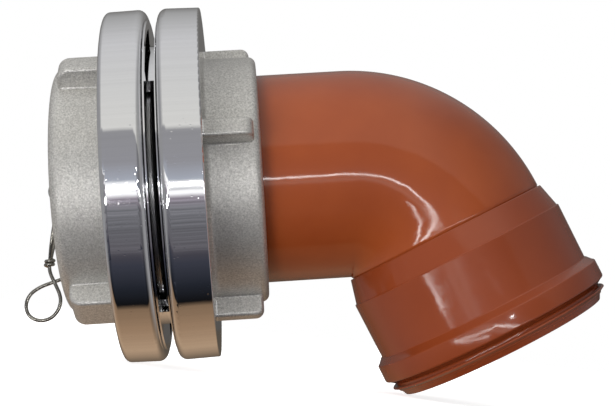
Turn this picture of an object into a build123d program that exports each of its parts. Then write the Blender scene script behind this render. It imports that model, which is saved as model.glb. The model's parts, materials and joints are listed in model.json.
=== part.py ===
from build123d import *
import os
from math import asin, atan2, cos, degrees, hypot, radians, sin, sqrt

# A Storz-type pressure coupling with its blank cap, bonded to a push-fit sewer elbow. Millimetres.
# The model is drawn about the coupling axis: +X runs from the cap to the elbow, X = 0 is the plane
# where the two seals meet, and the elbow bends down in the XZ plane. place() then tilts the whole
# object as it stands on its two points of rest, the cap's rim and the toe of the socket, and puts
# the origin in the middle of the socket's bore, where the pipe holds it.
# Angles about the coupling axis are measured from -Y, rising towards +Z.
# Profiles are lists of (along, radius) or (along, radius, rounding) points.

# Lug rings. The cap's ring is drawn like the coupling's and then mirrored.
FACE_X = 2.5              # front face, half of the gap between the two rings
FLANGE_REAR_X = 24.6
FLANGE_R = 92.8
FLANGE_REAR_R = 92.3      # the rim has a slight draft
RIM_ROUND = 4.4
FACE_LAND_R = 87.0        # raised face inside the rim's rounding
FACE_STEP = 0.6
SKIRT_R = 65.0
SKIRT_ROOT_ROUND = 2.5
RING_BORE_R = 59.4        # turns on a barrel
POCKET_X = 12.3           # shoulder that bears on the collar
CHANNEL_X = 18.0          # floor of the lug channel
CHANNEL_IN_R = 64.6
LIP_R = 74.5
LIP_BACK_X = 9.5
GROOVE_R = 82.0
LIP_ROUND = 0.5
OVERRUN = 1.0             # cutters and joined roots run this far past the face they meet
COUPLING_END_X, COUPLING_END_ROUND, COUPLING_REAR_ROUND = 52.0, 4.0, 0.8
CAP_END_X, CAP_END_ROUND, CAP_REAR_ROUND = 52.2, 5.4, 3.0

# Lugs, and the openings that let the other half's lugs in.
LUG_IN_R = 66.5           # 133 mm between the two lugs' inner faces
LUG_OUT_R = 73.5
HOOK_OUT_R = 80.0
LUG_TIP_X = -17.0         # how far past the seal plane the hook ends
HOOK_BACK_X = -10.0
HOOK_EDGE = 1.2
LUG_ARC = 35.0
LUG_ANGLE = 39.0          # start of the coupling's first lug
LUG_PITCH = 39.5          # from a coupling lug to the cap lug beside it
OPENING_R = 82.6
OPENING_PLAY = 2.0        # degrees at each end

# Spanner ribs on the skirts.
RIB_R = 75.5
RIB_ROUND = 2.0
FOOT_R = 1.4              # hollow rounding where a rib's flank meets the skirt
FOOT_SINK = 0.05          # keeps the rounding's two ends just inside the metal
NEAR = 0.1                # tolerance for picking edges
# Ribs as (angle, width), and how far before the skirt's end they stop, with the rounding there.
COUPLING_RIBS = [(15.0 + 90.0 * quarter, 9.5) for quarter in range(4)]
COUPLING_RIB_SHORTFALL, COUPLING_RIB_END_ROUND = 3.2, 4.5
CAP_RIBS = [(52.0, 14.0), (118.0, 23.0), (232.0, 14.0), (298.0, 23.0)]
CAP_RIB_SHORTFALL, CAP_RIB_END_ROUND = 4.5, 6.5

# Barrels: the coupling's tail, and the cap's lid, which is a cup.
COLLAR_FACE_X = 1.0
COLLAR_X = 12.0
COLLAR_R = 64.0
COLLAR_ROUND = 0.8
COLLAR_REAR_ROUND = 0.4
BARREL_R = 59.0
BARREL_END_ROUND = 1.0
WATERWAY_R = 50.0
PIPE_STOP_X = 18.0
TAIL_END_X = 46.0
LID_REAR_X = 47.0
LID_WALL = 5.0
LID_INNER_R = 53.0
LID_INNER_START_X = 15.0
LID_INNER_ROUND = 3.0
LID_BOSS_R = 13.0
LID_BOSS_ROUND = 1.0
LID_BOSS_X = 38.5

# Seals and snap rings.
SEAL_FACE_X = 0.15
SEAL_R = 58.0
SEAL_LIP_R = 53.0
SEAL_HEEL_R = 60.5
SEAL_HEEL_X = 5.5
SEAL_BACK_X = 8.5
SEAL_ROUND = 0.6
SEAL_THROAT_X = 3.0       # where the lip's slope meets the waterway
SEAL_THROAT_R = 50.2
SEAL_THROAT_ROUND = 0.8
SNAP_X = 30.0
SNAP_R = 59.2
SNAP_WIRE_R = 1.5
SNAP_SEAT_R = 1.55
SNAP_GROOVE_R = 1.9
SNAP_GAP = 8.0
SNAP_CUT = 12.0           # size of the block that cuts the gap

# Eye bolt in the lid, and the wire hook that hangs in its eye.
EYE_X = 55.0
EYE_R = 5.0
EYE_WIRE_R = 1.5
EYE_NECK_R = 2.1
SHANK_R = 3.0
SHANK_HOLE_R = 3.3
SHANK_END_X = 29.5
EYE_COLLAR_R = 5.5
EYE_COLLAR_T = 2.4
EYE_COLLAR_ROUND = 0.8
SHANK_CHAMFER = 0.5
WASHER_R = 9.0
WASHER_T = 1.6
NUT_FLATS = 10.0
NUT_H = 6.0
NUT_CHAMFER = 0.8
AXIAL_PLAY = 0.3
HOOK_WIRE_R = 0.95
HOOK_PLAY = 0.25
KNOT_TURNS = 2
KNOT_R = 2.0
KNOT_X = -0.5
KNOT_Z = -34.1            # below the eye
# The wire's route, as (point, corner radius): the closed upper loop, then the lower loop from the
# knot round to its free end, whose first and last points have no corner.
UPPER_LOOP = [
    ((0, 5.6, 0), 4.6), ((0, 6.0, -26), 12), ((0, 1.2, KNOT_Z), 1),
    ((0, -1.2, KNOT_Z), 1), ((0, -6.0, -26), 12), ((0, -5.6, 0), 4.6),
]
LOWER_LOOP = [
    ((-0.9, 0, KNOT_Z), None), ((-0.5, -0.5, -41.0), 6), ((8.6, -0.9, -53.0), 9),
    ((7.2, -0.8, -63.2), 8), ((-1.2, -0.4, -67.2), 8.5), ((-9.6, 0, -64.2), 6),
    ((-10.4, 0.4, -55.8), 7.5), ((-4.6, 0.9, -49.5), 12), ((7.3, 1.3, -43.4), None),
]

# Sewer elbow, DN 110, with one push-fit socket. Lengths along the socket start at the bend's end.
PIPE_R = 55.0
PIPE_BORE_R = 51.8
BEND_X = 96.0
BEND_R = 55.6             # leaves a crease on the inside of the bend
BEND_ANGLE = 67.0
SOCKET_R = 59.9
SOCKET_BORE_R = 55.5
SLEEVE_X = 1.0            # where the sleeve over the bend's end begins, with a small step
SLEEVE_STEP = 0.5
SOCKET_START = 13.5
STEP_RUN = 0.4            # length of each moulded step along the axis
STOP_START, STOP_END = 4.5, 9.5
BEAD_START, BEAD_END = 44.8, 60.3
BEAD_R = 66.3
BEAD_SLOPE = 1.0
BEAD_ROUND = 3.5
NOTCH_R = 59.6
NOTCH_END = 61.9
NOTCH_ROUND = 0.4
RIM_BACK_ROUND = 0.6
RIM_OUT_R = 61.4
RIM_IN_R = 56.8
RIM_END_ROUND = 3.0
MOUTH = 66.9
MOUTH_SLOPE = 2.0
SEAT_START, SEAT_END = 46.8, 58.8
SEAT_R = 61.6
SEAT_ROUND = 1.5
SEAT_PLAY = 0.1
THROAT_R = 56.0           # bore between the seal's seat and the mouth
SEAL_SQUEEZED_R = 55.8
SEAL_LIP_START, SEAL_LIP_END = 2.3, 4.3      # along the seal, where its lip bears on the pipe
SEAL_LIP_ROOT = 6.3
SEAL_LIP_ROUND = 0.4
SEAL_FOOT = 2.1           # thickness of the seal's front wall
SEAL_HEEL = 2.9           # and of its back wall
SEAL_WEB = 3.5
SEAL_OUTER_ROUND = 1.4
RETAINER_START = 55.3
RETAINER_IN_R = 57.0
RETAINER_ROUND, RETAINER_BACK_ROUND = 0.5, 0.8


def profile(points):
    """Face in the XZ plane, with each corner rounded as its point says."""
    corners = [(x, r) for x, r, *_ in points]
    rounds = [point[2] if len(point) > 2 else 0 for point in points]
    return Plane.XZ * make_face(FilletPolyline(*corners, radius=rounds, close=True))


def turned(points):
    return revolve(profile(points), Axis.X)


def sector(points, start, arc):
    """A profile turned about the axis from start to start + arc degrees."""
    return Rot(90 - start - arc, 0, 0) * revolve(profile(points), Axis.X, arc)


def mirrored(shape):
    return mirror(shape, Plane.YZ)


# Lug rings

def ring_body(end_x, end_round, rear_round):
    """Rim, skirt and bore, with the lug channel and the groove behind the lips."""
    return turned([
        (FACE_X, LIP_R, LIP_ROUND), (FACE_X, FACE_LAND_R), (FACE_X + FACE_STEP, FACE_LAND_R),
        (FACE_X + FACE_STEP, FLANGE_R, RIM_ROUND), (FLANGE_REAR_X, FLANGE_REAR_R, rear_round),
        (FLANGE_REAR_X, SKIRT_R, SKIRT_ROOT_ROUND), (end_x, SKIRT_R, end_round),
        (end_x, RING_BORE_R), (POCKET_X, RING_BORE_R), (POCKET_X, CHANNEL_IN_R),
        (CHANNEL_X, CHANNEL_IN_R), (CHANNEL_X, GROOVE_R), (LIP_BACK_X, GROOVE_R),
        (LIP_BACK_X, LIP_R, LIP_ROUND),
    ])


def snap_groove(section_r):
    return Rot(0, 90, 0) * Pos(0, 0, SNAP_X) * Torus(SNAP_R, section_r)


def lug(start):
    """Stem and outward hook, rising from a solid root in the ring's own groove."""
    root_x, stem_x = CHANNEL_X + OVERRUN, FACE_X + OVERRUN
    root = sector([
        (FACE_X, LUG_IN_R), (FACE_X, OPENING_R), (root_x, OPENING_R), (root_x, LUG_IN_R),
    ], start, LUG_ARC)
    hook = sector([
        (stem_x, LUG_IN_R), (LUG_TIP_X, LUG_IN_R, HOOK_EDGE), (LUG_TIP_X, HOOK_OUT_R, HOOK_EDGE),
        (HOOK_BACK_X, HOOK_OUT_R, HOOK_EDGE), (HOOK_BACK_X, LUG_OUT_R, HOOK_EDGE), (stem_x, LUG_OUT_R),
    ], start, LUG_ARC)
    return root + hook


def opening(start):
    """Cut through the lips that lets the other half's hook in."""
    front_x, back_x, inner_r = FACE_X - OVERRUN, LIP_BACK_X + OVERRUN, LIP_R - OVERRUN
    return sector([
        (front_x, inner_r), (front_x, OPENING_R), (back_x, OPENING_R), (back_x, inner_r),
    ], start - OPENING_PLAY, LUG_ARC + 2 * OPENING_PLAY)


def rib_bar(width, start_x, stop_x, end_round):
    """Bar with rounded edges and a rounded end, drawn over the top of the skirt."""
    inner_r = SKIRT_R - RIB_ROUND
    bar = Box(stop_x - start_x, width, RIB_R - inner_r)
    bar = Pos((start_x + stop_x) / 2, 0, (inner_r + RIB_R) / 2) * bar
    end = bar.edges().filter_by(Axis.Y).group_by(Axis.Z)[-1].sort_by(Axis.X)[-1]
    bar = fillet(end, end_round)
    sides = bar.edges().filter_by(lambda e: e.center().Z > SKIRT_R and abs(e.center().Y) > width / 2 - NEAR)
    return fillet(sides.filter_by(lambda e: e.center().X > start_x + NEAR), RIB_ROUND)


def rib_foot(width, start_x, stop_x):
    """Hollow rounding along the root of the flank on the +Y side."""
    toe_y = width / 2 + FOOT_R - FOOT_SINK
    toe_z = sqrt(SKIRT_R**2 - toe_y**2) - FOOT_SINK
    side = 2 * FOOT_R
    block = Pos(toe_y - side / 2, toe_z + FOOT_R - side / 2) * Rectangle(side, side)
    section = block - Pos(toe_y, toe_z + FOOT_R) * Circle(FOOT_R)
    return extrude(Plane.YZ.offset(start_x) * section, stop_x - start_x)


def rib(angle, width, end_x, shortfall, end_round):
    """Spanner rib along the skirt, with a hollow rounding at the foot of each flank."""
    start_x, stop_x = FLANGE_REAR_X - OVERRUN, end_x - shortfall
    foot = rib_foot(width, start_x, stop_x - RIB_ROUND)
    bar = rib_bar(width, start_x, stop_x, end_round) + foot + mirror(foot, Plane.XZ)
    return Rot(90 - angle, 0, 0) * bar


def lug_ring(end, lug_starts, opening_starts, ribs, rib_end):
    ring = ring_body(*end)
    for start in lug_starts:
        ring += lug(start)
    for start in opening_starts:
        ring -= opening(start)
    for angle, width in ribs:
        ring += rib(angle, width, end[0], *rib_end)
    return ring - snap_groove(SNAP_GROOVE_R)


def both_sides(start):
    return [start, start + 180]


def coupling_lug_ring():
    end = (COUPLING_END_X, COUPLING_END_ROUND, COUPLING_REAR_ROUND)
    own, other = both_sides(LUG_ANGLE), both_sides(LUG_ANGLE + LUG_PITCH)
    return lug_ring(end, own, other, COUPLING_RIBS, (COUPLING_RIB_SHORTFALL, COUPLING_RIB_END_ROUND))


def cap_lug_ring():
    end = (CAP_END_X, CAP_END_ROUND, CAP_REAR_ROUND)
    own, other = both_sides(LUG_ANGLE + LUG_PITCH), both_sides(LUG_ANGLE)
    return mirrored(lug_ring(end, own, other, CAP_RIBS, (CAP_RIB_SHORTFALL, CAP_RIB_END_ROUND)))


# Barrels, seals and snap rings

def seal_seat():
    """Points of the seal's seat, from the collar's face round to the waterway."""
    return [
        (COLLAR_FACE_X, SEAL_R), (SEAL_HEEL_X, SEAL_R), (SEAL_HEEL_X, SEAL_HEEL_R),
        (SEAL_BACK_X, SEAL_HEEL_R), (SEAL_BACK_X, WATERWAY_R),
    ]


def barrel_outside(end_x):
    """Points of the barrel's outside, from its end forward to the collar's face."""
    return [
        (end_x, BARREL_R, BARREL_END_ROUND), (COLLAR_X, BARREL_R),
        (COLLAR_X, COLLAR_R, COLLAR_REAR_ROUND), (COLLAR_FACE_X, COLLAR_R, COLLAR_ROUND),
    ]


def coupling_tail():
    tail = turned(seal_seat() + [
        (PIPE_STOP_X, WATERWAY_R), (PIPE_STOP_X, PIPE_R), (TAIL_END_X, PIPE_R),
    ] + barrel_outside(TAIL_END_X))
    return tail - snap_groove(SNAP_SEAT_R)


def cap_lid():
    """Cup that closes the mouth, with a bored boss for the eye bolt."""
    lid = turned(seal_seat() + [
        (COLLAR_X, WATERWAY_R), (LID_INNER_START_X, LID_INNER_R),
        (LID_REAR_X - LID_WALL, LID_INNER_R, LID_INNER_ROUND),
        (LID_REAR_X - LID_WALL, LID_BOSS_R), (LID_BOSS_X, LID_BOSS_R, LID_BOSS_ROUND),
        (LID_BOSS_X, SHANK_HOLE_R), (LID_REAR_X, SHANK_HOLE_R),
    ] + barrel_outside(LID_REAR_X))
    return mirrored(lid - snap_groove(SNAP_SEAT_R))


def face_seal():
    """Rubber ring with a heel that locks in the collar and a lip thinned towards the waterway."""
    return turned([
        (SEAL_FACE_X, SEAL_LIP_R, SEAL_ROUND), (SEAL_FACE_X, SEAL_R, SEAL_ROUND), (SEAL_HEEL_X, SEAL_R),
        (SEAL_HEEL_X, SEAL_HEEL_R), (SEAL_BACK_X, SEAL_HEEL_R), (SEAL_BACK_X, WATERWAY_R),
        (SEAL_THROAT_X, SEAL_THROAT_R, SEAL_THROAT_ROUND),
    ])


def snap_ring():
    wire = snap_groove(SNAP_WIRE_R)
    return wire - Pos(SNAP_X, 0, SNAP_R) * Box(SNAP_CUT, SNAP_GAP, SNAP_CUT)


# Eye bolt and hook

def x_rod(start_x, end_x, radius):
    return Pos((start_x + end_x) / 2, 0, 0) * Rot(0, 90, 0) * Cylinder(radius, abs(end_x - start_x))


def cap_eye_bolt():
    eye = Pos(-EYE_X, 0, 0) * Rot(90, 0, 0) * Torus(EYE_R, EYE_WIRE_R)
    collar_x = -LID_REAR_X - AXIAL_PLAY
    neck = x_rod(collar_x - EYE_COLLAR_T, -EYE_X + EYE_R, EYE_NECK_R)
    collar = x_rod(collar_x - EYE_COLLAR_T, collar_x, EYE_COLLAR_R)
    collar = fillet(collar.edges().sort_by(Axis.X)[0], EYE_COLLAR_ROUND)
    shank = x_rod(collar_x, -SHANK_END_X, SHANK_R)
    shank = chamfer(shank.edges().sort_by(Axis.X)[-1], SHANK_CHAMFER)
    return eye + neck + collar + shank


def cap_eye_washer():
    front_x = -LID_BOSS_X + WASHER_T
    hole = x_rod(-LID_BOSS_X - OVERRUN, front_x + OVERRUN, SHANK_HOLE_R)
    return x_rod(-LID_BOSS_X, front_x, WASHER_R) - hole


def cap_eye_nut():
    back_x = -LID_BOSS_X + WASHER_T + AXIAL_PLAY
    hexagon = Plane.YZ.offset(back_x) * RegularPolygon(NUT_FLATS / 2, 6, major_radius=False)
    nut = extrude(hexagon, NUT_H)
    nut = chamfer(nut.edges().group_by(Axis.X)[-1], NUT_CHAMFER)
    return nut - x_rod(back_x - OVERRUN, back_x + NUT_H + OVERRUN, SHANK_R)


def wire(route, close=False):
    """Round wire along (point, corner radius) pairs, with a tangent arc at each corner."""
    radii = [radius for point, radius in route if radius]
    path = FilletPolyline(*[point for point, radius in route], radius=radii, close=close)
    start = Plane(origin=path @ 0, z_dir=path % 0)
    return sweep(start * Circle(HOOK_WIRE_R), path=path)


def hanging_hook():
    """Wire hook at rest, hanging down -Z from the point where it bears in the eye, at the origin.
    The upper loop lies across the coupling axis, and the open lower loop along it."""
    core = Pos(KNOT_X, 0, KNOT_Z - HOOK_WIRE_R) * Cylinder(KNOT_R, 2 * KNOT_TURNS * HOOK_WIRE_R)
    hook = wire(UPPER_LOOP, close=True) + wire(LOWER_LOOP) + core
    for turn in range(KNOT_TURNS):
        hook += Pos(KNOT_X, 0, KNOT_Z - 2 * HOOK_WIRE_R * turn) * Torus(KNOT_R, HOOK_WIRE_R)
    return hook


# Sewer elbow

def bend(radius):
    axis = Axis((BEND_X, 0, -BEND_R), (0, 1, 0))
    return revolve(Pos(BEND_X, 0, 0) * Rot(0, 90, 0) * Circle(radius), axis, BEND_ANGLE)


def at_socket(shape):
    """Moves a shape drawn along +X from the origin to the end of the bend."""
    turn = radians(BEND_ANGLE)
    end = (BEND_X + BEND_R * sin(turn), 0, -BEND_R * (1 - cos(turn)))
    return Pos(*end) * Rot(0, BEND_ANGLE, 0) * shape


def socket_outside():
    return at_socket(turned([
        (0, 0), (0, PIPE_R), (SLEEVE_X, PIPE_R), (SLEEVE_X + STEP_RUN, PIPE_R + SLEEVE_STEP),
        (SOCKET_START, SOCKET_R - STEP_RUN), (SOCKET_START + STEP_RUN, SOCKET_R), (BEAD_START, SOCKET_R),
        (BEAD_START + BEAD_SLOPE, BEAD_R, BEAD_ROUND), (BEAD_END, BEAD_R, BEAD_ROUND),
        (BEAD_END, NOTCH_R, NOTCH_ROUND), (NOTCH_END, NOTCH_R, NOTCH_ROUND),
        (NOTCH_END, RIM_OUT_R, RIM_BACK_ROUND), (MOUTH, RIM_OUT_R, RIM_END_ROUND), (MOUTH, 0),
    ]))


def socket_inside():
    return at_socket(turned([
        (0, 0), (0, PIPE_BORE_R), (STOP_START, PIPE_BORE_R), (STOP_END, SOCKET_BORE_R),
        (SEAT_START, SOCKET_BORE_R), (SEAT_START, SEAT_R, SEAT_ROUND), (SEAT_END, SEAT_R, SEAT_ROUND),
        (SEAT_END, THROAT_R), (MOUTH - MOUTH_SLOPE, THROAT_R), (MOUTH, RIM_IN_R),
        (MOUTH + OVERRUN, RIM_IN_R), (MOUTH + OVERRUN, 0),
    ]))


def sewer_elbow():
    outside = x_rod(PIPE_STOP_X, BEND_X, PIPE_R) + bend(PIPE_R) + socket_outside()
    inside = x_rod(PIPE_STOP_X - OVERRUN, BEND_X, PIPE_BORE_R) + bend(PIPE_BORE_R) + socket_inside()
    return outside - inside


def socket_seal():
    """Rubber ring in the bead, its lip drawn as a pipe presses it."""
    front, back, outer = SEAT_START + 3 * SEAT_PLAY, RETAINER_START - SEAT_PLAY, SEAT_R - SEAT_PLAY
    return at_socket(turned([
        (front, outer - SEAL_FOOT), (front, outer, SEAL_OUTER_ROUND),
        (back, outer), (back, outer - SEAL_HEEL),
        (SEAT_START + SEAL_LIP_ROOT, outer - SEAL_WEB, SEAL_LIP_ROUND),
        (SEAT_START + SEAL_LIP_END, SEAL_SQUEEZED_R, SEAL_LIP_ROUND),
        (SEAT_START + SEAL_LIP_START, SEAL_SQUEEZED_R, SEAL_LIP_ROUND),
    ]))


def socket_seal_retainer():
    """Plastic hoop that keeps the seal in its seat."""
    back, outer = SEAT_END - 2 * SEAT_PLAY, SEAT_R - SEAT_PLAY
    return at_socket(turned([
        (RETAINER_START, RETAINER_IN_R, RETAINER_ROUND), (RETAINER_START, outer),
        (back, outer, SEAL_OUTER_ROUND), (back, RETAINER_IN_R, RETAINER_BACK_ROUND),
    ]))


# Assembly

def resting_points():
    """Centres and radii, in the XZ plane, of the two roundings that the object stands on."""
    turn = radians(BEND_ANGLE)
    rim_along, rim_r = MOUTH - RIM_END_ROUND, RIM_OUT_R - RIM_END_ROUND
    toe_x = BEND_X + BEND_R * sin(turn) + rim_along * cos(turn) - rim_r * sin(turn)
    toe_z = -BEND_R * (1 - cos(turn)) - rim_along * sin(turn) - rim_r * cos(turn)
    heel = (-FLANGE_REAR_X + CAP_REAR_ROUND, -FLANGE_REAR_R + CAP_REAR_ROUND, CAP_REAR_ROUND)
    return heel, (toe_x, toe_z, RIM_END_ROUND)


def rest_tilt():
    """How far the coupling axis rises towards the elbow, in degrees."""
    (heel_x, heel_z, heel_r), (toe_x, toe_z, toe_r) = resting_points()
    run, drop = toe_x - heel_x, heel_z - toe_z
    return degrees(atan2(drop, run) + asin((toe_r - heel_r) / hypot(run, drop)))


def cap_chain_hook(tilt):
    """The hook, turned so that it hangs straight down once the object stands at its tilt."""
    sag = EYE_R - EYE_WIRE_R - HOOK_WIRE_R - HOOK_PLAY
    lean = radians(tilt)
    bearing = Pos(-EYE_X - sag * sin(lean), 0, -sag * cos(lean))
    return bearing * Rot(0, tilt, 0) * hanging_hook()


def place(nodes, tilt):
    """Tilts the object as it stands, and puts the middle of the socket's bore at the origin."""
    tilted = Rot(0, -tilt, 0)
    bore = (tilted * at_socket(Pos((STOP_END + SEAT_START) / 2, 0, 0))).position
    print("tilt", round(tilt, 4), "coupling origin at", round(-bore.X, 3), 0, round(-bore.Z, 3))
    return {name: Pos(-bore.X, 0, -bore.Z) * tilted * shape for name, shape in nodes.items()}


tilt = rest_tilt()
nodes = place({
    "coupling_lug_ring": coupling_lug_ring(),
    "coupling_tail": coupling_tail(),
    "coupling_seal": face_seal(),
    "coupling_snap_ring": snap_ring(),
    "cap_lug_ring": cap_lug_ring(),
    "cap_lid": cap_lid(),
    "cap_seal": mirrored(face_seal()),
    "cap_snap_ring": mirrored(snap_ring()),
    "cap_eye_bolt": cap_eye_bolt(),
    "cap_eye_washer": cap_eye_washer(),
    "cap_eye_nut": cap_eye_nut(),
    "cap_chain_hook": cap_chain_hook(tilt),
    "sewer_elbow": sewer_elbow(),
    "socket_seal": socket_seal(),
    "socket_seal_retainer": socket_seal_retainer(),
}, tilt)

os.makedirs("parts", exist_ok=True)
for name, shape in nodes.items():
    export_step(shape, f"parts/{name}.step")
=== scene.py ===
import json
import math

import bpy
import bmesh
from mathutils import Matrix, Vector


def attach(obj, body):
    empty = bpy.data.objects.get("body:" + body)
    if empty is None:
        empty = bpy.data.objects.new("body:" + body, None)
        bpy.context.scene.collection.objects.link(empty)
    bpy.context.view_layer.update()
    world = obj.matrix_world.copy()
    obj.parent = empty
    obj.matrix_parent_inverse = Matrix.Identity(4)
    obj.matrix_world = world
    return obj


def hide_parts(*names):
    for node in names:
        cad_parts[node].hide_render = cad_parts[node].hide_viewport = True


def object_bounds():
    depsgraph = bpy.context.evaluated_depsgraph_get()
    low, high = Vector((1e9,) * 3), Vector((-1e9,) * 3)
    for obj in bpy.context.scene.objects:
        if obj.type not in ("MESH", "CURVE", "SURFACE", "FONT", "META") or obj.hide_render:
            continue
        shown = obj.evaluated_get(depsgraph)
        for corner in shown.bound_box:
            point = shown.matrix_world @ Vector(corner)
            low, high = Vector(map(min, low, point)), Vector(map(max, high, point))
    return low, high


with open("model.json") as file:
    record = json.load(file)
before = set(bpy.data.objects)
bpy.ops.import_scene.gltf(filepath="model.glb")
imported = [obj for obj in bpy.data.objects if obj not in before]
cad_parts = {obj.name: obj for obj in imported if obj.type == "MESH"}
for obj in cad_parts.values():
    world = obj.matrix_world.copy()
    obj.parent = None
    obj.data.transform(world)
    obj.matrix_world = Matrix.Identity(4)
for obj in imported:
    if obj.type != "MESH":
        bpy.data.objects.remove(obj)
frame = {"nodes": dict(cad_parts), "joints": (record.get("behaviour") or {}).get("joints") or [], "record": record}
cad_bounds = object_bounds()
scene = bpy.context.scene
MM = 0.001

# The coupling's own axes: X along its axis towards the elbow, from the plane where the seals meet.
# TO_ROW takes them to the frame's axes. The socket's axis comes from its mount.
joints = {joint["name"]: joint for joint in frame["joints"]}
swivel = joints["coupling_swivel"]
COUPLING = Vector(swivel["pos_m"])
AXIS = -Vector(swivel["axis"])
TILT = math.atan2(AXIS.z, AXIS.x)
TO_ROW = Matrix.Translation(COUPLING) @ Matrix.Rotation(-TILT, 4, "Y")
SOCKET = next(mount for mount in frame["record"]["mounts"] if mount["name"] == "socket_bore")
SOCKET_AXIS, SOCKET_POINT = Vector(SOCKET["axis"]), Vector(SOCKET["pos_m"])
LOW, HIGH = (Vector(corner) for corner in cad_bounds)
MIDDLE = (LOW + HIGH) / 2

# Camera, placed in the coupling's axes: metres, degrees, and millimetres for lens and sensor.
CAMERA_AT = (0.0461, -0.7385, -0.0011)
CAMERA_YAW, CAMERA_PITCH, CAMERA_ROLL = -2.27, -1.01, 3.455
ROUND_THE_AXIS = 5.7      # the camera is then turned this far about the coupling's axis
LENS, SENSOR = 81.05, 36.0
CLIP_START = 0.01

WHITE = (1.0, 1.0, 1.0, 1.0)


# ---------------------------------------------------------------- nodes helper

# Sockets of a Mix node for each kind of data: A, B and the result.
MIX_SOCKETS = {"FLOAT": (2, 3, 0), "VECTOR": (4, 5, 1), "RGBA": (6, 7, 2)}


class Graph:
    """Short calls for building one material's or the world's node tree."""

    def __init__(self, tree):
        self.tree = tree
        tree.nodes.clear()

    def node(self, kind, **values):
        made = self.tree.nodes.new(kind)
        inputs = values.pop("inputs", {})
        for name, value in values.items():
            setattr(made, name, value)
        for name, value in inputs.items():
            self.put(made.inputs[name], value)
        return made

    def put(self, socket, value):
        if isinstance(value, bpy.types.NodeSocket):
            self.tree.links.new(value, socket)
        else:
            socket.default_value = value

    def math(self, operation, a, b=0.0):
        made = self.node("ShaderNodeMath", operation=operation)
        self.put(made.inputs[0], a)
        self.put(made.inputs[1], b)
        return made.outputs[0]

    def between(self, value, low, high, to_low=0.0, to_high=1.0):
        made = self.node("ShaderNodeMapRange", inputs={
            "Value": value, "From Min": low, "From Max": high, "To Min": to_low, "To Max": to_high,
        })
        return made.outputs[0]

    def combine(self, x, y, z):
        return self.node("ShaderNodeCombineXYZ", inputs={0: x, 1: y, 2: z}).outputs[0]

    def noise(self, vector, scale, detail=3.0, rough=0.5):
        made = self.node("ShaderNodeTexNoise", inputs={
            "Vector": vector, "Scale": scale, "Detail": detail, "Roughness": rough,
        })
        return made.outputs["Fac"]

    def mix(self, factor, a, b, kind="RGBA"):
        made = self.node("ShaderNodeMix", data_type=kind)
        first, second, result = MIX_SOCKETS[kind]
        self.put(made.inputs[0], factor)
        self.put(made.inputs[first], a)
        self.put(made.inputs[second], b)
        return made.outputs[result]

    def bump(self, height, distance, strength=1.0):
        made = self.node("ShaderNodeBump", inputs={
            "Height": height, "Distance": distance, "Strength": strength,
        })
        return made.outputs[0]

    def place(self):
        """Where a shading point lies in the frame, in metres."""
        return self.node("ShaderNodeTexCoord").outputs["Object"]

    def less(self, a, b):
        return self.node("ShaderNodeVectorMath", operation="SUBTRACT", inputs={0: a, 1: b}).outputs[0]


def material(name):
    made = bpy.data.materials.new(name)
    made.use_nodes = True
    return made, Graph(made.node_tree)


def surface(graph, **inputs):
    """A Principled shader with the given sockets, wired to the output."""
    shader = graph.node("ShaderNodeBsdfPrincipled")
    for name, value in inputs.items():
        graph.put(shader.inputs[name.replace("_", " ")], value)
    out = graph.node("ShaderNodeOutputMaterial")
    graph.tree.links.new(shader.outputs[0], out.inputs["Surface"])


def axial(graph):
    """A shading point's place, and its coupling coordinates: along the axis, radius and angle."""
    place = graph.place()
    turned = graph.node("ShaderNodeVectorRotate", rotation_type="Y_AXIS", inputs={
        "Vector": graph.less(place, COUPLING), "Angle": TILT,
    })
    x, y, z = graph.node("ShaderNodeSeparateXYZ", inputs={0: turned.outputs[0]}).outputs
    squares = [graph.math("MULTIPLY", part, part) for part in (y, z)]
    radius = graph.math("SQRT", graph.math("ADD", *squares))
    return place, x, radius, graph.math("ARCTAN2", z, y)


def fine_lines(graph, x, radius, angle, wander, **pattern):
    """Noise drawn out into lines round the coupling's axis; wander is how soon they change round it."""
    return graph.noise(graph.combine(x, radius, graph.math("MULTIPLY", angle, wander)), **pattern)


# ---------------------------------------------------------------- materials

CAST_FROM = 24.75 * MM    # the skirt starts behind the rim's rear face
SLEEVE_FROM = -27.2 * MM  # the socket's sleeve, along its axis from the middle of its bore

# Linear colours. In a pair the darker one comes first.
RIM = (0.85, 0.85, 0.86, 1), (0.90, 0.90, 0.91, 1)
CASTING = (0.38, 0.37, 0.345, 1), (0.84, 0.825, 0.78, 1)
CASTING_PATCH = (0.44, 0.42, 0.385, 1)
CASTING_METALLIC = 0.66   # partly matt
TURNED = (0.64, 0.64, 0.635, 1), (0.74, 0.74, 0.73, 1)
RUBBER = (0.010, 0.010, 0.011, 1), (0.022, 0.022, 0.022, 1)
SPRING_STEEL = (0.20, 0.20, 0.21, 1), (0.36, 0.36, 0.37, 1)
ZINC_STEEL = (0.50, 0.50, 0.48, 1), (0.68, 0.68, 0.65, 1)
HOOK_WIRE = (0.26, 0.245, 0.21, 1), (0.46, 0.44, 0.39, 1)
RETAINER = (0.028, 0.028, 0.030, 1), (0.045, 0.045, 0.047, 1)
PVC_LIGHT, PVC_DARK = (0.335, 0.070, 0.0175, 1), (0.285, 0.056, 0.0140, 1)
PVC_SLEEVE = (0.200, 0.036, 0.0120, 1)
PVC_IOR = 1.53


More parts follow.
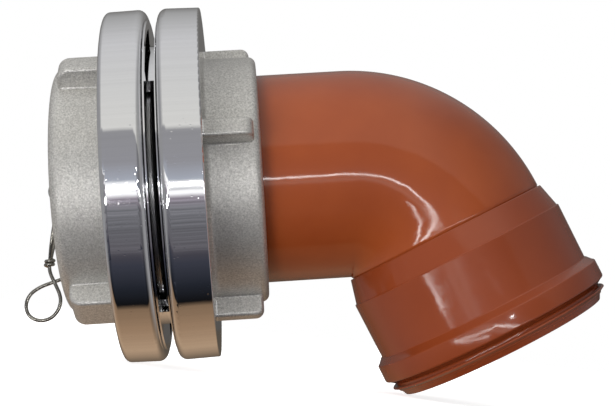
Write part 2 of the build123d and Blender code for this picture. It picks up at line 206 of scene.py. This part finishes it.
def machined(g, place, x, radius, angle):
    """Colour, roughness and normal of the turned rim: fine lines, a little haze and small nicks."""
    lines = fine_lines(g, x, radius, angle, 0.0012, scale=1500.0, detail=4.0, rough=0.65)
    tone = g.noise(g.combine(g.math("MULTIPLY", x, 0.02), 0.0, angle), scale=26.0, detail=4.0, rough=0.7)
    haze = g.noise(place, scale=45.0)
    cells = g.node("ShaderNodeTexVoronoi", feature="F1", inputs={"Vector": place, "Scale": 380.0})
    nick = g.between(cells.outputs["Distance"], 0.10, 0.20, 1.0, 0.0)
    nick = g.math("MULTIPLY", nick, g.between(haze, 0.45, 0.6))
    rough = g.math("ADD", g.between(lines, 0.3, 0.7, 0.02, 0.045), g.between(haze, 0.4, 0.75, 0.0, 0.05))
    height = g.math("SUBTRACT", g.math("MULTIPLY", lines, 0.08), g.math("MULTIPLY", nick, 2.5))
    return g.mix(g.between(tone, 0.35, 0.65), *RIM), rough, g.bump(height, distance=0.012 * MM)


def blasted(g, place):
    """Colour, roughness and normal of the casting: grain, soft unevenness and duller patches."""
    grain = g.noise(place, scale=1100.0, rough=0.75)
    coarse = g.noise(place, scale=420.0, rough=0.6)
    patches = g.noise(place, scale=38.0)
    height = g.math("ADD", grain, g.math("MULTIPLY", coarse, 0.8))
    color = g.mix(g.between(grain, 0.3, 0.7), *CASTING)
    color = g.mix(g.between(patches, 0.4, 0.75, 0.0, 0.3), color, CASTING_PATCH)
    return color, g.between(grain, 0.3, 0.7, 0.50, 0.32), g.bump(height, distance=0.16 * MM)


def lug_ring_material():
    """A machined rim up to CAST_FROM along the axis, and a blasted casting beyond it."""
    made, g = material("lug_ring_metal")
    place, x, radius, angle = axial(g)
    cast = g.math("GREATER_THAN", g.math("ABSOLUTE", x), CAST_FROM)
    rim_color, rim_rough, rim_normal = machined(g, place, x, radius, angle)
    cast_color, cast_rough, cast_normal = blasted(g, place)
    surface(
        g, Base_Color=g.mix(cast, rim_color, cast_color),
        Metallic=g.mix(cast, 1.0, CASTING_METALLIC, "FLOAT"),
        Roughness=g.mix(cast, rim_rough, cast_rough, "FLOAT"),
        Normal=g.mix(cast, rim_normal, cast_normal, "VECTOR"),
    )
    return made


def turned_metal():
    made, g = material("turned_metal")
    place, x, radius, angle = axial(g)
    lines = fine_lines(g, x, radius, angle, 0.0008, scale=1700.0, rough=0.6)
    surface(
        g, Base_Color=g.mix(g.noise(place, scale=60.0), *TURNED), Metallic=1.0,
        Roughness=g.between(lines, 0.3, 0.7, 0.24, 0.40), Normal=g.bump(lines, distance=0.015 * MM),
    )
    return made


def rubber():
    made, g = material("black_rubber")
    place = g.place()
    bloom = g.noise(place, scale=70.0)
    grain = g.noise(place, scale=900.0)
    surface(
        g, Base_Color=g.mix(g.between(bloom, 0.4, 0.8), *RUBBER),
        Roughness=g.between(bloom, 0.3, 0.7, 0.65, 0.8),
        Normal=g.bump(grain, distance=0.05 * MM, strength=0.5),
    )
    return made


def steel(name, colors, low_rough, high_rough):
    made, g = material(name)
    place = g.place()
    tone = g.noise(place, scale=260.0, detail=4.0)
    scuff = g.noise(place, scale=1500.0, detail=2.0)
    surface(
        g, Base_Color=g.mix(g.between(tone, 0.3, 0.7), *colors), Metallic=1.0,
        Roughness=g.between(tone, 0.3, 0.7, low_rough, high_rough),
        Normal=g.bump(scuff, distance=0.02 * MM, strength=0.6),
    )
    return made


def orange_pvc():
    """Glossy PVC with a slightly uneven skin; the socket's sleeve is darker and a little rougher."""
    made, g = material("orange_pvc")
    place = g.place()
    along = g.node("ShaderNodeVectorMath", operation="DOT_PRODUCT", inputs={
        0: g.less(place, SOCKET_POINT), 1: SOCKET_AXIS,
    }).outputs["Value"]
    sleeve = g.between(along, SLEEVE_FROM - MM, SLEEVE_FROM)
    cloud = g.noise(place, scale=24.0)
    flow = g.noise(place, scale=95.0)
    ripple = g.noise(place, scale=320.0, detail=2.0)
    color = g.mix(g.between(cloud, 0.35, 0.7), PVC_LIGHT, PVC_DARK)
    color = g.mix(g.math("MULTIPLY", sleeve, 0.6), color, PVC_SLEEVE)
    skin_rough, sleeve_rough = g.between(flow, 0.3, 0.7, 0.05, 0.10), g.between(flow, 0.3, 0.7, 0.07, 0.14)
    height = g.math("ADD", g.math("MULTIPLY", cloud, 1.2), g.math("MULTIPLY", flow, 0.22))
    height = g.math("ADD", height, g.math("MULTIPLY", ripple, g.math("MULTIPLY", sleeve, 0.12)))
    surface(
        g, Base_Color=color, Roughness=g.mix(sleeve, skin_rough, sleeve_rough, "FLOAT"), IOR=PVC_IOR,
        Normal=g.bump(height, distance=0.22 * MM),
    )
    return made


def dull_plastic():
    made, g = material("retainer_plastic")
    grain = g.noise(g.place(), scale=500.0)
    surface(
        g, Base_Color=g.mix(grain, *RETAINER), Roughness=g.between(grain, 0.3, 0.7, 0.4, 0.55),
        Normal=g.bump(grain, distance=0.03 * MM, strength=0.5),
    )
    return made


def finish_cad_nodes():
    """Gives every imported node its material, by its slot, and returns the materials by slot."""
    by_slot = {
        "lug_ring_aluminium": lug_ring_material(),
        "turned_aluminium": turned_metal(),
        "black_rubber": rubber(),
        "spring_steel": steel("spring_steel", SPRING_STEEL, 0.3, 0.45),
        "zinc_steel": steel("zinc_steel", ZINC_STEEL, 0.22, 0.38),
        "hook_wire": steel("hook_wire", HOOK_WIRE, 0.14, 0.28),
        "orange_pvc": orange_pvc(),
        "retainer_plastic": dull_plastic(),
    }
    for part in frame["record"]["subparts"]:
        node = frame["nodes"][part["node"]]
        for slot in node.material_slots:
            slot.material = by_slot[part["material_slot"]]
    return by_slot


# ---------------------------------------------------------------- elbow

# Millimetres. Outside and inside profiles of the socket are (along, radius, rounding), from the
# bend's end; the pipe starts inside the coupling's tail.
PIPE_FROM, BEND_FROM, BEND_R, BEND_ANGLE = 18.0, 96.0, 55.6, 67.0
PIPE_OUT, PIPE_IN = 55.0, 51.8
SOCKET_OUT = [
    (0, 55, 0), (1, 55, 0.3), (1.4, 55.5, 0.2), (13.5, 59.5, 0.8), (14.1, 59.9, 0.8), (44.8, 59.9, 0.8),
    (45.8, 66.3, 3.5), (60.3, 66.3, 3.5), (60.3, 59.6, 0.4), (61.9, 59.6, 0.4), (61.9, 61.4, 0.6),
    (66.9, 61.4, 3.0), (66.9, 56.8, 0.3),
]
SOCKET_IN = [
    (64.9, 56, 0.5), (58.8, 56, 0.3), (58.8, 61.6, 1.4), (46.8, 61.6, 1.4), (46.8, 55.5, 0.3),
    (9.5, 55.5, 1.0), (4.5, 51.8, 1.0), (0, 51.8, 0),
]
ROUND_STEPS = 5           # steps in a rounded corner
RING_STEPS = 192          # steps round the pipe
BEND_STEPS = 48           # steps along the bend
SHARP = math.radians(50)


def rounded(profile):
    """The profile's points, with an arc of ROUND_STEPS steps in place of each rounded corner."""
    points = []
    for index, (along, radius, rounding) in enumerate(profile):
        here = Vector((along, radius))
        if not rounding:
            points.append(here)
            continue
        before = (Vector(profile[index - 1][:2]) - here).normalized()
        after = (Vector(profile[index + 1][:2]) - here).normalized()
        half = before.angle(after) / 2
        centre = here + (before + after).normalized() * rounding / math.sin(half)
        first = here + before * rounding / math.tan(half) - centre
        last = here + after * rounding / math.tan(half) - centre
        for step in range(ROUND_STEPS + 1):
            points.append(centre + first.slerp(last, step / ROUND_STEPS))
    return points


def stations():
    """Rings of the elbow's closed skin as (x, z, turn, radius): outside to the mouth, then back inside."""
    turn = math.radians(BEND_ANGLE)
    bend = [turn * step / BEND_STEPS for step in range(BEND_STEPS + 1)]

    def on_bend(angle, radius):
        return BEND_FROM + BEND_R * math.sin(angle), BEND_R * (math.cos(angle) - 1), angle, radius

    def on_socket(point):
        x, z = on_bend(turn, 0)[:2]
        return x + point.x * math.cos(turn), z - point.x * math.sin(turn), turn, point.y

    skin = rounded(SOCKET_OUT + SOCKET_IN)
    outside = [(PIPE_FROM, 0, 0, PIPE_OUT)] + [on_bend(angle, PIPE_OUT) for angle in bend]
    inside = [on_bend(angle, PIPE_IN) for angle in reversed(bend)] + [(PIPE_FROM, 0, 0, PIPE_IN)]
    return outside + [on_socket(point) for point in skin[1:-1]] + inside


def ring(x, z, turn, radius):
    """One station's points in the frame."""
    points = []
    for step in range(RING_STEPS):
        angle = 2 * math.pi * step / RING_STEPS
        rise, side = radius * math.sin(angle), radius * math.cos(angle)
        place = Vector((x + rise * math.sin(turn), side, z + rise * math.cos(turn)))
        points.append(TO_ROW @ (place * MM))
    return points


def between_rings(here, following):
    """Faces from the ring whose first point is here to the one whose first point is following."""
    faces = []
    for step in range(RING_STEPS):
        beside = (step + 1) % RING_STEPS
        faces.append((here + step, here + beside, following + beside, following + step))
    return faces


def face_outwards(mesh):
    clean = bmesh.new()
    clean.from_mesh(mesh)
    bmesh.ops.recalc_face_normals(clean, faces=clean.faces)
    clean.to_mesh(mesh)
    clean.free()


def elbow(plastic):
    """The PVC moulding as one closed skin."""
    skin = stations()
    points = [point for station in skin for point in ring(*station)]
    faces = []
    for index in range(len(skin)):
        faces += between_rings(index * RING_STEPS, (index + 1) % len(skin) * RING_STEPS)
    mesh = bpy.data.meshes.new("elbow_body")
    mesh.from_pydata(points, [], faces)
    face_outwards(mesh)
    mesh.shade_smooth()
    mesh.set_sharp_from_angle(angle=SHARP)
    mesh.materials.append(plastic)
    made = bpy.data.objects.new("elbow_body", mesh)
    scene.collection.objects.link(made)
    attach(made, "elbow")
    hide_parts("sewer_elbow")


# ---------------------------------------------------------------- chain hook

WIRE_R = 0.95 * MM
WIRE_ROUND, WIRE_SMOOTH = 5, 10    # the curve's resolution round the wire and along it
KNOT_TOP = -34.1          # mm, from the bearing point in the eye
KNOT_R = 2.0              # mm
KNOT_X = -0.5             # mm, to the left of the bearing point
KNOT_TURNS = 2
KNOT_STEPS = 12           # points in one turn


def hook_points():
    """The wire's route in mm from the bearing point in the eye: open loop, closed loop, then the knot."""
    lower = [
        (7.3, 1.5, -43.4), (1.6, 1.5, -46.2), (-4.3, 0.9, -49.4), (-9.0, 0.5, -54.0), (-10.1, 0.1, -60.0),
        (-7.4, -0.2, -65.3), (-1.2, -0.5, -67.1), (4.8, -0.7, -64.6), (8.0, -0.9, -59.2), (8.1, -0.9, -53.2),
        (4.3, -0.7, -47.0), (0.6, -0.4, -41.6), (-0.5, -0.2, -37.6),
    ]
    upper = [
        (KNOT_X, -0.6, KNOT_TOP), (-0.4, -3.2, -30.0), (-0.2, -5.7, -24.0), (0, -5.9, -12.0),
        (0, -5.6, -4.0), (0, -3.6, 0.1), (0, 0, 0.1), (0, 3.6, 0.1), (0, 5.6, -4.0), (0, 5.9, -12.0),
        (-0.2, 5.7, -24.0), (-0.4, 3.4, -30.0),
    ]
    knot = []
    for step in range(KNOT_TURNS * KNOT_STEPS + 1):
        turn = 2 * math.pi * step / KNOT_STEPS
        drop = 2 * WIRE_R / MM * step / KNOT_STEPS
        knot.append((KNOT_X + KNOT_R * math.sin(turn), KNOT_R * math.cos(turn), KNOT_TOP - drop))
    return lower + upper + knot


def chain_hook(metal):
    curve = bpy.data.curves.new("chain_hook_wire", "CURVE")
    curve.dimensions = "3D"
    curve.bevel_depth = WIRE_R
    curve.bevel_resolution = WIRE_ROUND
    curve.use_fill_caps = True
    curve.resolution_u = WIRE_SMOOTH
    points = hook_points()
    spline = curve.splines.new("NURBS")
    spline.points.add(len(points) - 1)
    bearing = Vector(joints["hook_swing"]["pos_m"])
    for point, place in zip(spline.points, points):
        point.co = (*(bearing + Vector(place) * MM), 1.0)
    spline.order_u = 3
    spline.use_endpoint_u = True
    hook = bpy.data.objects.new("chain_hook_wire", curve)
    scene.collection.objects.link(hook)
    curve.materials.append(metal)
    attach(hook, "chain_hook")
    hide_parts("cap_chain_hook")


# ---------------------------------------------------------------- studio

FLOOR_SIZE = 6.0
FLOOR_WHITE = (0.93, 0.93, 0.93, 1)
FLOOR_ROUGHNESS, FLOOR_GLOW = 0.9, 0.8


def floor():
    """Pale sheet that only the camera sees, so that the object is lit by the studio alone."""
    data = bpy.data.meshes.new("floor")
    half, z = FLOOR_SIZE / 2, LOW.z
    corners = [(-half, -half, z), (half, -half, z), (half, half, z), (-half, half, z)]
    data.from_pydata(corners, [], [(0, 1, 2, 3)])
    made = bpy.data.objects.new("floor", data)
    scene.collection.objects.link(made)
    paint, g = material("floor_paint")
    surface(
        g, Base_Color=FLOOR_WHITE, Roughness=FLOOR_ROUGHNESS, Emission_Color=WHITE,
        Emission_Strength=FLOOR_GLOW,
    )
    data.materials.append(paint)
    made.visible_glossy = made.visible_diffuse = made.visible_shadow = False


# What the studio shows to reflections: colours by height, in degrees round the X axis from the front.
BANDS = [
    (-180, (0.09, 0.075, 0.06)), (-160, (0.20, 0.145, 0.10)), (-137, (0.47, 0.325, 0.21)),
    (-108, (0.34, 0.22, 0.135)), (-90, (0.24, 0.155, 0.095)), (-86, (0.006, 0.006, 0.007)),
    (-72, (0.018, 0.021, 0.030)), (-56, (0.045, 0.048, 0.066)), (-50, (0.065, 0.062, 0.078)),
    (-46, (0.115, 0.11, 0.125)), (-30, (0.14, 0.14, 0.155)), (-20, (0.20, 0.20, 0.22)),
    (-13, (0.32, 0.28, 0.33)), (-12.2, (1.1, 1.1, 1.12)), (-9.4, (1.2, 1.2, 1.2)),
    (-9.1, (0.45, 0.45, 0.5)), (-8.5, (0.45, 0.45, 0.5)), (-8.2, (1.2, 1.2, 1.2)),
    (-4.5, (1.2, 1.2, 1.2)), (-3.6, (0.42, 0.45, 0.52)), (8, (0.31, 0.31, 0.335)),
    (28, (0.30, 0.30, 0.315)), (30.5, (0.72, 0.715, 0.69)), (60, (0.67, 0.67, 0.66)),
    (100, (0.62, 0.62, 0.63)), (140, (0.38, 0.38, 0.38)), (162, (0.17, 0.165, 0.16)),
    (180, (0.09, 0.085, 0.08)),
]
STREAKS = (-48.0, -14.0)  # where the studio shows fine lines, in degrees
# Below, x is a reflection's direction to the right, from -1 to 1.
SHADE_FROM, SHADE_TO, SHADE = 0.28, 0.65, 0.35     # the studio is darker to the right
WALL_FROM, WALL_TO = 0.5, 0.85                     # plain walls at the two ends
WALL = (0.30, 0.30, 0.31, 1.0)
# Long lamps in front: height and half width in degrees; left of the knee the lamp sinks by the slope.
FRONT_LAMP = {"at": -5.4, "knee": -0.05, "slope": 40.0, "half": 0.75}
LOWER_LAMP = {"at": -16.0, "knee": -0.11, "slope": 28.0, "half": 0.7}
LAMP_POWER = 13.0
LAMP_REACH = 0.62         # the lamps end this far to either side


def bands(g, angle):
    """The colour of BANDS at an angle."""
    ramp = g.node("ShaderNodeValToRGB", inputs={0: g.between(angle, -math.pi, math.pi)})
    stops = ramp.color_ramp.elements
    while len(stops) < len(BANDS):
        stops.new(0.5)
    for stop, (degree, color) in zip(stops, BANDS):
        stop.position = (degree + 180) / 360
        stop.color = (*color, 1.0)
    return ramp.outputs[0]


def shading(g, angle, x):
    """How bright the bands are: streaked between STREAKS, and darker to the right."""
    lines = g.noise(g.combine(angle, 0.0, 0.0), scale=42.0, detail=4.0, rough=0.65)
    low, high = (math.radians(degree) for degree in STREAKS)
    inside = g.math("MULTIPLY", g.math("GREATER_THAN", angle, low), g.math("LESS_THAN", angle, high))
    streaks = g.mix(inside, 1.0, g.between(lines, 0.32, 0.68, 0.55, 1.6), "FLOAT")
    return g.math("MULTIPLY", streaks, g.between(x, SHADE_FROM, SHADE_TO, 1.0, SHADE))


def lamp(g, angle, x, at, knee, slope, half):
    """1 where a long lamp is seen."""
    left = g.math("MAXIMUM", g.math("SUBTRACT", knee, x), 0.0)
    sunk = g.math("MULTIPLY", left, math.radians(slope))
    away = g.math("ABSOLUTE", g.math("SUBTRACT", g.math("ADD", angle, sunk), math.radians(at)))
    return g.math("LESS_THAN", away, math.radians(half))


def lamps(g, angle, x, sideways):
    """How bright the long lamps are; the lower one is there only left of its knee."""
    lower = g.math("MULTIPLY", lamp(g, angle, x, **LOWER_LAMP), g.math("LESS_THAN", x, LOWER_LAMP["knee"]))
    both = g.math("ADD", lamp(g, angle, x, **FRONT_LAMP), lower)
    seen = g.math("MULTIPLY", both, g.math("LESS_THAN", sideways, LAMP_REACH))
    return g.math("MULTIPLY", seen, LAMP_POWER)


def studio_world():
    """White behind the object; reflections see bands, plain walls at the ends and two long lamps."""
    world = bpy.data.worlds.new("studio")
    scene.world = world
    world.use_nodes = True
    g = Graph(world.node_tree)
    direction = g.node("ShaderNodeTexCoord").outputs["Generated"]
    x, y, z = g.node("ShaderNodeSeparateXYZ", inputs={0: direction}).outputs
    angle = g.math("ARCTAN2", z, g.math("MULTIPLY", y, -1.0))
    sideways = g.math("ABSOLUTE", x)
    wall = g.between(sideways, WALL_FROM, WALL_TO)
    glow = lamps(g, angle, x, sideways)
    shown = g.mix(g.math("GREATER_THAN", glow, 0.5), g.mix(wall, bands(g, angle), WALL), WHITE)
    bright = g.math("ADD", glow, g.mix(wall, shading(g, angle, x), 1.0, "FLOAT"))
    room = g.node("ShaderNodeBackground", inputs={0: shown, 1: bright})
    plain = g.node("ShaderNodeBackground", inputs={0: WHITE, 1: 1.0})
    from_camera = g.node("ShaderNodeLightPath").outputs["Is Camera Ray"]
    mixed = g.node("ShaderNodeMixShader", inputs={0: from_camera, 1: room.outputs[0], 2: plain.outputs[0]})
    g.node("ShaderNodeOutputWorld", inputs={0: mixed.outputs[0]})


# Lights that don't show in reflections: place from the object's middle, size in metres and watts.
# front_fill stands below the floor, which casts no shadow.
SOFT_LIGHTS = {
    "overhead": ((-0.85, -0.55, 0.8), (1.0, 0.8), 6.0),
    "front_fill": ((-0.8, -1.2, -0.30), (0.7, 0.7), 9.5),
    "back_fill": ((0.6, 1.5, 0.7), (1.0, 0.8), 9.0),
}
# A small lamp that does show, as the streak on the socket: place from the middle of the socket's bore.
SIDE_LAMP = ((0.40, -2.02, 0.14), (0.030, 0.08), 1.4)


def area_light(name, aim, offset, size, power, reflect):
    data = bpy.data.lights.new(name, "AREA")
    data.shape = "RECTANGLE"
    data.size, data.size_y = size
    data.energy = power
    made = bpy.data.objects.new(name, data)
    scene.collection.objects.link(made)
    made.location = aim + Vector(offset)
    made.rotation_euler = (aim - made.location).to_track_quat("-Z", "Y").to_euler()
    made.visible_glossy = reflect
    made.visible_camera = False


def lights():
    for name, placing in SOFT_LIGHTS.items():
        area_light(name, MIDDLE, *placing, reflect=False)
    area_light("side_lamp", SOCKET_POINT, *SIDE_LAMP, reflect=True)


def turned(degrees, axis):
    return Matrix.Rotation(math.radians(degrees), 4, axis)


def camera():
    data = bpy.data.cameras.new("camera")
    data.lens, data.sensor_width = LENS, SENSOR
    data.clip_start = CLIP_START
    made = bpy.data.objects.new("camera", data)
    scene.collection.objects.link(made)
    upright = turned(90, "X")     # a camera looks down its own -Z
    aim = turned(CAMERA_YAW, "Z") @ turned(CAMERA_PITCH, "X") @ turned(CAMERA_ROLL, "Y") @ upright
    made.matrix_world = TO_ROW @ turned(ROUND_THE_AXIS, "X") @ Matrix.Translation(CAMERA_AT) @ aim
    scene.camera = made


camera()
materials = finish_cad_nodes()
elbow(materials["orange_pvc"])
chain_hook(materials["hook_wire"])
floor()
studio_world()
lights()
scene.view_settings.view_transform = "Standard"
